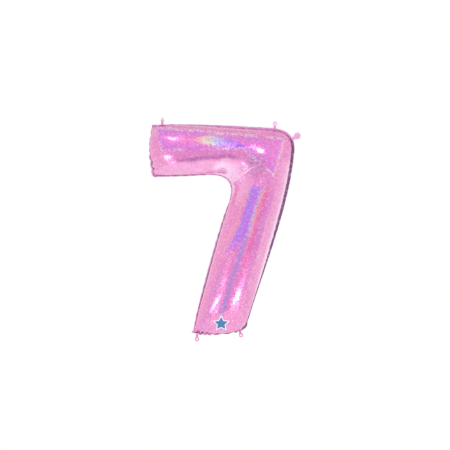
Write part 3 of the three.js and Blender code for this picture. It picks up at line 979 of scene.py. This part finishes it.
def matched(pattern, target, step):
    """Evenly spaced points round the flat pattern, and the points of the target that they draw in to."""
    closed, run = run_round(pattern)
    count = round(run[-1] / step)
    at = np.arange(count) * run[-1] / count
    share = np.interp(at, run, np.arange(len(closed)))
    closed_target = np.vstack([target, target[:1]])
    return points_at(closed, run, at), points_at(closed_target, np.arange(len(closed_target)), share)


def inflate(film, drawn, sizes):
    """Cloth simulation: the seam draws in to its inflated outline while pressure fills the film."""
    mesh = bpy.data.meshes.new("inflating film")
    mesh.from_pydata(film.flat.tolist(), [], film.faces)
    body = bpy.data.objects.new("inflating film", mesh)
    bpy.context.scene.collection.objects.link(body)
    body.shape_key_add(name="Basis")
    cut = body.shape_key_add(name="flat cut")
    cut.data.foreach_set("co", film.flat.astype(np.float32).ravel())
    pulled = body.shape_key_add(name="drawn in")
    pulled.data.foreach_set("co", drawn.astype(np.float32).ravel())
    pulled.value = 0
    pulled.keyframe_insert("value", frame=1)
    pulled.value = 1
    pulled.keyframe_insert("value", frame=sizes.draw_in_frames)
    seam = drawn[: film.seam_count, [0, 2]]
    sharp = seam[sharp_corners(seam, spread=3)]
    to_corner = np.linalg.norm(seam[:, None] - sharp[None], axis=2).min(1)
    firm = [i for i, away in enumerate(to_corner) if i % 3 == 0 or away < sizes.corner_taper]
    held = body.vertex_groups.new(name="held")
    held.add(firm, 1.0, "REPLACE")
    blown = body.vertex_groups.new(name="blown")
    blown.add(list(range(film.rim_start)), 1.0, "REPLACE")
    cloth = body.modifiers.new("foil", "CLOTH")
    foil = cloth.settings
    foil.rest_shape_key = cut
    foil.vertex_group_mass = held.name
    foil.pin_stiffness = 1
    foil.quality = 6
    foil.mass = 0.3
    foil.tension_stiffness = foil.shear_stiffness = 50
    foil.compression_stiffness = 0  # foil gathers into fine creases instead of pushing back
    foil.bending_model = "ANGULAR"
    foil.bending_stiffness = 0.3
    foil.tension_damping = foil.compression_damping = foil.shear_damping = 5
    foil.bending_damping = 0.5
    foil.use_pressure = True
    foil.uniform_pressure_force = sizes.pressure
    foil.vertex_group_pressure = blown.name
    foil.effector_weights.gravity = 0
    for share, drag in ((0, 2.0), (0.6, 3.0), (0.8, 8.0)):
        foil.air_damping = drag
        foil.keyframe_insert("air_damping", frame=max(1, round(share * sizes.frames)))
    cloth.collision_settings.use_collision = False
    cloth.point_cache.frame_start = 1
    cloth.point_cache.frame_end = sizes.frames
    scene = bpy.context.scene
    scene.frame_end = sizes.frames
    for at in range(1, sizes.frames + 1):
        scene.frame_set(at)
    settled = body.evaluated_get(bpy.context.evaluated_depsgraph_get()).data
    places = np.empty(len(settled.vertices) * 3, np.float32)
    settled.vertices.foreach_get("co", places)
    bpy.data.objects.remove(body)
    scene.frame_set(1)
    return places.reshape(-1, 3).astype(float)


def neighbours_of(faces, count):
    """Pairs of neighbouring points, both ways round, and how many neighbours each point has."""
    tri = np.array(faces)
    pairs = np.concatenate([tri[:, [0, 1]], tri[:, [1, 2]], tri[:, [2, 0]]])
    pairs = np.unique(np.sort(pairs, 1), axis=0)
    both = np.concatenate([pairs, pairs[:, ::-1]])
    return both, np.bincount(both[:, 0], minlength=count)[:, None]


def ironed(places, faces, rounds, loose, passes=(0.55, -0.57)):
    """Takes out small waves without shrinking the film; loose is how freely each point moves."""
    pairs, degree = neighbours_of(faces, len(places))
    places = places.copy()
    for _ in range(rounds):
        for share in passes:
            total = np.zeros_like(places)
            np.add.at(total, pairs[:, 0], places[pairs[:, 1]])
            places += (total / degree - places) * share * loose[:, None]
    return places


def point_normals(places, faces):
    """Unit normals at a mesh's points, each the mean of its faces' by area."""
    tri = np.array(faces)
    a, b, c = (places[tri[:, i]] for i in range(3))
    face_normals = np.cross(b - a, c - a)
    total = np.zeros_like(places)
    for i in range(3):
        np.add.at(total, tri[:, i], face_normals)
    return total / np.maximum(np.linalg.norm(total, axis=1), 1e-12)[:, None]


def nearest_on(loop, points, block=4000):
    """For each point (x, z), the index of the nearest point of a line, and its distance."""
    index = np.empty(len(points), int)
    away = np.empty(len(points))
    for i in range(0, len(points), block):
        gap = np.linalg.norm(points[i : i + block, None] - loop[None], axis=2)
        index[i : i + block] = gap.argmin(1)
        away[i : i + block] = gap.min(1)
    return index, away


def pulled_taut(places, film, seam, rim, sizes, marks):
    """Brings the weld halfway back to its outline, irons the film and splits it finer."""
    for first, line in ((0, seam), (film.rim_start, rim)):
        straight = np.stack([line[:, 0], np.zeros(len(line)), line[:, 1]], 1)
        places[first : first + len(line)] = (places[first : first + len(line)] + straight) / 2
    to_inner = np.linalg.norm(places[:, [0, 2]] - np.array(marks["inner"]), axis=1)
    far = 0.6 + 0.4 * smoothstep(to_inner, 100 * MM, 220 * MM)
    places = ironed(places, film.faces, sizes.ironing, np.where(film.kind == SKIN, far, 0.0))
    near = smoothstep(-to_inner, -190 * MM, -120 * MM)
    places = ironed(places, film.faces, sizes.corner_ironing, np.where(film.kind == SKIN, near, 0.0))
    for rounds in SPLIT_IRONING:
        places = film.refine(places)
        places = ironed(places, film.faces, rounds, np.where(film.kind == SKIN, 1.0, 0.0))
    return places


def tucked(places, film, seam, sizes):
    """Film that bulges out past its seam is drawn back until only a small overhang is left."""
    line, _ = spaced(seam, WELD_POINTS)
    out = outward(rounded(line, 4))
    index, _ = nearest_on(line, places[:, [0, 2]])
    past = ((places[:, [0, 2]] - line[index]) * out[index]).sum(1)
    past = np.where((film.kind == SKIN) & (past > 0), past, 0.0)
    back = past - sizes.overhang * np.tanh(past / sizes.overhang)
    moved = places.copy()
    moved[:, [0, 2]] -= out[index] * back[:, None]
    return moved


def crease_depth(places, sizes, marks):
    """How deep each point lies in the crease from the inner corner towards the elbow."""
    start = np.array(marks["inner"])
    run = np.array(marks["dimple"]) - start
    from_start = places[:, [0, 2]] - start
    share = from_start @ run / (run @ run)
    nearest = np.clip(share, 0, 1)[:, None] * run
    away = np.linalg.norm(from_start - nearest, axis=1)
    fade = smoothstep(share, 0.0, 0.25) * smoothstep(-share, -1.1, -0.7)
    return sizes.crease * fade * np.exp(-((away / sizes.crease_width) ** 2))


def at_end(line, out, axis, near):
    """1 along the outline's left end (axis 0) or its foot (axis 1), and 0 from 100 mm away."""
    low = line[:, axis].min()
    facing = smoothstep(-out[:, axis], 0.6, 0.95)
    return facing * smoothstep(-line[:, axis], -low - 100 * MM, -low - near)


def puckered(places, film, seam, sizes, marks):
    """Small gathers along the weld, where the film is shorter than its flat cut, and the crease."""
    line, around = spaced(seam, WELD_POINTS)
    out = outward(rounded(line, 4))
    ends = rounded(np.maximum(at_end(line, out, 0, 20 * MM), at_end(line, out, 1, 30 * MM)), 20)
    depth = sizes.side_pucker + (sizes.end_pucker - sizes.side_pucker) * ends

    # the gathers' spacing wanders in two long waves
    run = np.arange(len(line)) * around / len(line)
    wander = 1.1 * np.sin(2 * np.pi * run / (213 * MM) + 0.7)
    wander = wander + 0.8 * np.sin(2 * np.pi * run / (131 * MM) + 2.1)
    phase = np.pi * run / sizes.pucker_pitch + wander
    gather = (abs(np.sin(phase)) - 0.62) * depth
    sway = np.sin(phase + 0.5) * depth * 0.55

    index, away = nearest_on(line, places[:, [0, 2]])
    fade = np.exp(-np.hypot(away, abs(places[:, 1])) / sizes.pucker_reach)
    normals = point_normals(places, film.faces)
    on_weld = film.kind != SKIN
    moved = places + normals * (gather[index] * np.where(on_weld, 0.0, fade))[:, None]
    flat_out = np.stack([out[index, 0], np.zeros(len(index)), out[index, 1]], 1)
    moved += flat_out * (gather[index] * np.where(on_weld, 0.75, fade * 0.6))[:, None]
    moved -= normals * crease_depth(places, sizes, marks)[:, None]
    moved[:, 1] += sway[index] * np.where(film.kind == RIM, 1.3, np.where(on_weld, 1.0, fade))
    return moved


def make_films(sizes, colours):
    """Cuts, inflates and finishes the front and back films."""
    edge, _ = spaced(outline_of("front_film"), OUTLINE_POINTS)
    target, around = spaced(edge - outward(rounded(edge, 3)) * sizes.flange_width, OUTLINE_POINTS)
    marks = marks_of(target)
    pattern = flat_pattern(target, sizes, marks)
    cut, seam = matched(pattern, target, sizes.mesh_step * 0.9)
    rim = seam + outward(seam) * sizes.flange_width
    film = Film(cut, sizes.mesh_step, sizes.flange_width)
    places = inflate(film, film.drawn_in(seam, rim), sizes)
    places = pulled_taut(places, film, seam, rim, sizes, marks)
    places = tucked(places, film, seam, sizes)
    places = puckered(places, film, seam, sizes, marks)

    weld = weld_material("welded edge", colours, marks)
    front = film_material("holographic film, front", colours, marks, with_print=True)
    back = film_material("holographic film, back", colours, marks)
    for side, shade in (("front", front), ("back", back)):
        piece = film_piece(f"{side}_film_skin", side, film, places, sizes, [shade, weld])
        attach(piece, "root")
        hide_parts(f"{side}_film")


def film_piece(name, side, film, places, sizes, materials):
    """One of the two films with its ply of the flange, given its thickness outwards."""
    kept = [(face, s == "flange") for face, s in zip(film.faces, film.sides) if s in (side, "flange")]
    faces = [face[::-1] if flat and side == "back" else face for face, flat in kept]
    used, faces = np.unique(np.array(faces), return_inverse=True)
    mesh = bpy.data.meshes.new(name)
    mesh.from_pydata(places[used].tolist(), [], faces.reshape(-1, 3).tolist())
    mesh.polygons.foreach_set("material_index", np.array([flat for face, flat in kept], np.int32))
    across = mesh.attributes.new(ACROSS_WELD, "FLOAT", "POINT")
    across.data.foreach_set("value", film.across[used].astype(np.float32))
    for material in materials:
        mesh.materials.append(material)
    piece = bpy.data.objects.new(name, mesh)
    bpy.context.scene.collection.objects.link(piece)
    thicken = piece.modifiers.new("foil", "SOLIDIFY")
    thicken.thickness = sizes.foil_thickness
    thicken.offset = 1
    apply_modifiers(piece)
    piece.data.shade_smooth()
    return piece


# ---- Modelling helpers ----


def deselect_all():
    if bpy.context.object and bpy.context.object.mode != "OBJECT":
        bpy.ops.object.mode_set(mode="OBJECT")
    bpy.ops.object.select_all(action="DESELECT")


def make_active(piece):
    deselect_all()
    piece.select_set(True)
    bpy.context.view_layer.objects.active = piece


def apply_modifiers(piece):
    make_active(piece)
    for modifier in list(piece.modifiers):
        bpy.ops.object.modifier_apply(modifier=modifier.name)


def select_in_edit(piece, kind, wanted):
    """In edit mode, selects the vertices, edges or faces that a test picks, and returns how many."""
    bpy.ops.mesh.select_mode(type=kind)
    bpy.ops.mesh.select_all(action="DESELECT")
    mesh = bmesh.from_edit_mesh(piece.data)
    items = {"VERT": mesh.verts, "EDGE": mesh.edges, "FACE": mesh.faces}[kind]
    count = 0
    for item in items:
        if wanted(item):
            item.select_set(True)
            count += 1
    mesh.select_flush_mode()
    bmesh.update_edit_mesh(piece.data)
    if not count:
        raise RuntimeError(f"{piece.name}: nothing to select")
    return count


def joint_named(name):
    found = [j for j in frame["joints"] if j["name"] == name]
    if not found:
        raise RuntimeError(f"the frame has no joint named {name}")
    return found[0]


def hinge_place(joint):
    """A hinge's matrix: x along its axis, z out of the balloon, y to the back, at its middle."""
    across = Vector(joint["axis"]).normalized()
    out = across.cross(TO_BACK)
    place = Matrix((across, TO_BACK, out)).transposed().to_4x4()
    place.translation = Vector(joint["pos_m"])
    return place


def put_at(piece, place):
    """Moves a piece modelled at the origin to its place, which goes into its mesh."""
    piece.matrix_world = place
    make_active(piece)
    bpy.ops.object.transform_apply(location=True, rotation=True, scale=True)


# How much of the lug's curve is left in each row of the strap below it
STRAP_CURVE = (0.4, 0.5, 0.5, 0.5, 0.0)
LUG_RINGS = 3


def lug(name, diameter, root_width, root_to_middle, lap, hole=0.0):
    """A flat round lug on a strap that reaches back to its root, in the plane y = 0."""
    deselect_all()
    middle = Vector((0, 0, root_to_middle))
    bpy.ops.mesh.primitive_circle_add(
        vertices=32, radius=diameter / 2, fill_type="NGON", location=middle, rotation=(math.pi / 2, 0, 0)
    )
    piece = bpy.context.object
    piece.name = name
    piece.data.name = name
    bpy.ops.object.transform_apply(location=True, rotation=True, scale=True)
    bpy.ops.object.mode_set(mode="EDIT")
    bpy.ops.mesh.select_all(action="SELECT")
    inner = hole if hole else diameter * 0.3
    for _ in range(LUG_RINGS):
        bpy.ops.mesh.inset(thickness=(diameter - inner) / 2 / LUG_RINGS, depth=0)
    if hole:
        bpy.ops.mesh.delete(type="FACE")

    def on_lower_rim(edge):
        ends = [v.co for v in edge.verts]
        rim = all(abs((c - middle).length - diameter / 2) < 1e-5 for c in ends)
        return rim and all(c.z < middle.z and abs(c.x) < root_width / 2 * 1.02 for c in ends)

    # the strap: the lower edge of the lug runs down to the root
    select_in_edit(piece, "EDGE", on_lower_rim)
    lowest = middle.z - diameter / 2
    drop = (lowest + lap) / len(STRAP_CURVE)
    for row, curve in enumerate(STRAP_CURVE, 1):
        bpy.ops.mesh.extrude_region_move(TRANSFORM_OT_translate={"value": (0, 0, -drop)})
        bpy.ops.transform.resize(value=(1, 1, curve), center_override=(0, 0, lowest - drop * row))
    bpy.ops.mesh.select_all(action="SELECT")
    bpy.ops.mesh.remove_doubles(threshold=1e-6)
    bpy.ops.object.mode_set(mode="OBJECT")
    return piece


def finish_lug(piece, thickness):
    """Thickness, rounded edges and a smoother outline for a flat lug."""
    thicken = piece.modifiers.new("thickness", "SOLIDIFY")
    thicken.thickness = thickness
    thicken.offset = 0
    soften = piece.modifiers.new("soften", "SUBSURF")
    soften.levels = soften.render_levels = 2
    apply_modifiers(piece)
    make_active(piece)
    bpy.ops.object.mode_set(mode="EDIT")
    bpy.ops.mesh.select_all(action="SELECT")
    bpy.ops.mesh.normals_make_consistent(inside=False)
    bpy.ops.object.mode_set(mode="OBJECT")
    piece.data.shade_smooth()


# ---- Tabs, neck and valve ----


def hang_on_weld(piece, film, place, node):
    """Gives a lug its film, puts it at its hinge and hides the frame's part."""
    piece.data.materials.append(film)
    put_at(piece, place)
    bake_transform(piece)
    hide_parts(node)


# How each tab has curled and twisted in use
TAB_POSES = {
    "top_left": {"twist": math.radians(74), "curl": math.radians(10)},
    "top_right": {"twist": math.radians(12), "curl": math.radians(-16)},
    "bottom_left": {"twist": math.radians(-14), "curl": math.radians(20)},
    "bottom_right": {"twist": math.radians(10), "curl": math.radians(-16)},
}


def shaped(piece, twist, curl, top):
    """Twists a lug about its own length and curls its tip over, growing from the root."""
    sideways = Vector((math.sin(twist), -math.cos(twist)))
    radius = top / curl
    for vertex in piece.data.vertices:
        share = min(max(vertex.co.z / top, 0), 1)
        turn = twist * share * share * (3 - 2 * share)
        x, y = vertex.co.x, vertex.co.y
        vertex.co.x = x * math.cos(turn) - y * math.sin(turn)
        vertex.co.y = x * math.sin(turn) + y * math.cos(turn)
        if vertex.co.z > 0:
            angle = vertex.co.z / radius
            lift = radius * (1 - math.cos(angle))
            vertex.co.z = radius * math.sin(angle)
            vertex.co.x += sideways.x * lift
            vertex.co.y += sideways.y * lift


def make_tabs(sizes, colours):
    """The four hanging tabs, each put at its hinge on the weld."""
    film = tab_material("tab film", colours, (0.60, 0.36, 0.52), share=0.0)
    top = sizes.eyelet_from_root + sizes.width / 2
    for corner, pose in TAB_POSES.items():
        name = f"hanging_tab_{corner}"
        skin = f"{name}_skin"
        piece = lug(skin, sizes.width, sizes.root_width, sizes.eyelet_from_root, sizes.lap, sizes.eyelet)
        finish_lug(piece, sizes.thickness)
        shaped(piece, top=top, **pose)
        place = hinge_place(joint_named(f"tab_{corner}_fold"))
        hang_on_weld(piece, film, place, name)


def make_neck(sizes, colours):
    """The filler neck: two plies, closed at the root and parted at the paddle's mouth."""
    film = tab_material("neck film", colours, (0.94, 0.60, 0.80), share=0.35)
    place = hinge_place(joint_named("neck_fold"))
    top = sizes.paddle_from_root + sizes.paddle / 2
    for side, way in (("front", -1), ("back", 1)):
        skin = f"filler_neck_{side}_skin"
        piece = lug(skin, sizes.paddle, sizes.width, sizes.paddle_from_root, sizes.lap)
        finish_lug(piece, sizes.thickness)
        for vertex in piece.data.vertices:
            x, y, z = vertex.co
            half = sizes.width / 2 if z < sizes.paddle_from_root else sizes.paddle / 2
            across = max(0.0, 1 - (x / half) ** 2)
            opening = min(max(z / top, 0), 1) ** 1.6
            vertex.co.y = y + way * (0.35 * MM + sizes.mouth / 2 * across * opening)
        hang_on_weld(piece, film, place, f"filler_neck_{side}_ply")


def valve_ply(name, sizes, way):
    """One ply, narrowing to its tip and waving a little to its own side: -1 is the front and 1 the back."""
    deselect_all()
    bpy.ops.mesh.primitive_grid_add(
        x_subdivisions=10, y_subdivisions=30, size=1, location=(0, 0, 0), rotation=(math.pi / 2, 0, 0)
    )
    piece = bpy.context.object
    piece.name = name
    bpy.ops.object.transform_apply(location=True, rotation=True, scale=True)
    bpy.ops.object.mode_set(mode="EDIT")
    bpy.ops.mesh.select_all(action="SELECT")
    bpy.ops.transform.resize(value=(sizes.width, 1, sizes.depth), center_override=(0, 0, 0))
    bpy.ops.transform.translate(value=(0, 0, sizes.depth / 2))
    select_in_edit(piece, "VERT", lambda v: v.co.z > sizes.depth * 0.8)
    bpy.ops.transform.resize(value=(0.9, 1, 1), center_override=(0, 0, 0))
    bpy.ops.object.mode_set(mode="OBJECT")
    for vertex in piece.data.vertices:
        share = vertex.co.z / sizes.depth
        wave = math.sin(share * 7.0) * 0.8 + math.cos(vertex.co.x / sizes.width * 5) * 0.5
        vertex.co.y = way * (0.5 * MM + 1.0 * MM * share * (1.3 + wave))
    thicken = piece.modifiers.new("thickness", "SOLIDIFY")
    thicken.thickness = sizes.thickness
    thicken.offset = 0
    apply_modifiers(piece)
    piece.data.shade_smooth()
    return piece


def make_valve(sizes):
    """The two plies of the self-sealing valve, hanging loose inside the balloon."""
    film = valve_material("valve film")
    for side, way in (("front", -1), ("back", 1)):
        piece = valve_ply(f"valve_{side}_skin", sizes, way)
        piece.data.materials.append(film)
        put_at(piece, hinge_place(joint_named(f"valve_{side}_open")))
        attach(piece, f"valve_{side}")
        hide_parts(f"valve_{side}_ply")


# ---- The stage ----


def make_world():
    """A white tent, a little dimmer overhead and mauve on the camera's side, with a dark table edge."""
    world = bpy.data.worlds.new("studio")
    bpy.context.scene.world = world
    tree = ShaderTree(world)
    x, y, z = tree.parts(tree.node("ShaderNodeTexCoord", output=0))
    tent = tree.ramp(
        y * 0.5 + 0.5,
        [(0.0, (0.86, 0.74, 0.96)), (0.12, (0.90, 0.80, 0.96)), (0.30, (0.97, 0.95, 0.98)), (0.5, (1, 1, 1))],
    )
    table_edge = tree.band(z, -0.50, 0.17) * tree.step(y, 0.0, -0.5) * tree.step(abs(x), 0.42, 0.15)
    tent = tree.mix(table_edge * 0.85, tent, (0.26, 0.14, 0.42))
    tent = tree.mix(tree.step(z, 0.45, 0.95) * 0.35, tent, (0.62, 0.60, 0.66))
    seen_directly = tree.node("ShaderNodeLightPath", output=0)
    shade = tree.mix(seen_directly, tent, (1, 1, 1))
    glow = tree.node("ShaderNodeBackground", {}, {"Color": shade, "Strength": 1.0})
    tree.node("ShaderNodeOutputWorld", {}, {"Surface": glow})


# Each oval softbox: its place from the balloon's middle, its size and how bright it looks
LIGHTS = (
    ("high left", (-0.89, -1.65, 2.02), (0.36, 0.32), 7),
    ("high right", (0.66, -2.11, 1.52), (0.64, 0.56), 7),
    ("low left", (-1.70, -1.82, -0.40), (1.00, 0.25), 6),
    ("low right", (1.20, -2.03, -1.12), (0.86, 0.30), 6),
    ("under middle", (-1.08, -1.76, -0.95), (0.34, 0.18), 5),
)


def add_light(name, place, aim, size, power):
    """A soft oval light that faces a point."""
    light = bpy.data.lights.new(name, "AREA")
    light.shape = "ELLIPSE"
    light.size, light.size_y = size
    light.energy = power
    holder = bpy.data.objects.new(name, light)
    holder.location = place
    holder.rotation_euler = (Vector(aim) - Vector(place)).to_track_quat("-Z", "Y").to_euler()
    bpy.context.scene.collection.objects.link(holder)


def make_stage(sizes):
    """White floor, soft lights and the camera."""
    scene = bpy.context.scene
    scene.view_settings.view_transform = "Standard"
    low, high = (Vector(corner) for corner in CAD_BOX)
    middle = (low + high) / 2
    deselect_all()
    bpy.ops.mesh.primitive_plane_add(size=sizes.floor_size, location=(0, 0, low.z - sizes.floor_drop))
    floor = bpy.context.object
    floor.name = "floor"
    bpy.ops.object.transform_apply(location=True, rotation=True, scale=True)
    floor.data.materials.append(floor_material("paper floor"))
    make_world()
    for name, offset, size, glow in LIGHTS:
        power = glow * math.pi * (math.pi / 4 * size[0] * size[1])
        add_light(name, middle + Vector(offset), middle, size, power)
    lens = bpy.data.cameras.new("camera")
    lens.sensor_width = 36
    lens.lens = lens.sensor_width * sizes.camera_distance / sizes.picture_width
    lens.clip_end = 100
    camera = bpy.data.objects.new("camera", lens)
    camera.location = (middle.x, -sizes.camera_distance, middle.z + sizes.lift)
    camera.rotation_euler = (math.pi / 2, 0, 0)
    scene.collection.objects.link(camera)
    scene.camera = camera


# ---- Operators, panel and registration ----


class FIGURE_OT_stage(bpy.types.Operator):
    """Add the floor, lights and camera"""

    bl_idname = "figure.stage"
    bl_label = "Stage"

    def execute(self, context):
        make_stage(context.scene.figure_stage)
        return {"FINISHED"}


class FIGURE_OT_films(bpy.types.Operator):
    """Cut, weld and inflate the two films"""

    bl_idname = "figure.films"
    bl_label = "Films"

    def execute(self, context):
        make_films(context.scene.figure_film, context.scene.figure_colours)
        return {"FINISHED"}


class FIGURE_OT_tabs(bpy.types.Operator):
    """Add the four hanging tabs"""

    bl_idname = "figure.tabs"
    bl_label = "Hanging tabs"

    def execute(self, context):
        make_tabs(context.scene.figure_tabs, context.scene.figure_colours)
        return {"FINISHED"}


class FIGURE_OT_neck(bpy.types.Operator):
    """Add the filler neck"""

    bl_idname = "figure.neck"
    bl_label = "Filler neck"

    def execute(self, context):
        make_neck(context.scene.figure_neck, context.scene.figure_colours)
        return {"FINISHED"}


class FIGURE_OT_valve(bpy.types.Operator):
    """Add the self-sealing valve"""

    bl_idname = "figure.valve"
    bl_label = "Valve"

    def execute(self, context):
        make_valve(context.scene.figure_valve)
        return {"FINISHED"}


OPERATORS = (FIGURE_OT_stage, FIGURE_OT_films, FIGURE_OT_tabs, FIGURE_OT_neck, FIGURE_OT_valve)
GROUPS = {
    "figure_film": FilmSizes,
    "figure_colours": FilmColours,
    "figure_tabs": TabSizes,
    "figure_neck": NeckSizes,
    "figure_valve": ValveSizes,
    "figure_stage": StageSizes,
}


class FIGURE_PT_panel(bpy.types.Panel):
    """Sizes, colours and the steps of the build"""

    bl_idname = "FIGURE_PT_panel"
    bl_label = "Foil number balloon"
    bl_space_type = "VIEW_3D"
    bl_region_type = "UI"
    bl_category = "Balloon"

    def draw(self, context):
        for name, group in GROUPS.items():
            box = self.layout.box()
            for prop in group.__annotations__:
                box.prop(getattr(context.scene, name), prop)
        for operator in OPERATORS:
            self.layout.operator(operator.bl_idname)


def register():
    for cls in (*GROUPS.values(), *OPERATORS, FIGURE_PT_panel):
        bpy.utils.register_class(cls)
    for name, group in GROUPS.items():
        setattr(bpy.types.Scene, name, bpy.props.PointerProperty(type=group))


def unregister():
    for name in GROUPS:
        delattr(bpy.types.Scene, name)
    for cls in (FIGURE_PT_panel, *reversed(OPERATORS), *reversed(GROUPS.values())):
        bpy.utils.unregister_class(cls)


def main():
    register()
    bpy.ops.figure.stage()
    bpy.ops.figure.films()
    bpy.ops.figure.tabs()
    bpy.ops.figure.neck()
    bpy.ops.figure.valve()


if __name__ == "__main__":
    main()
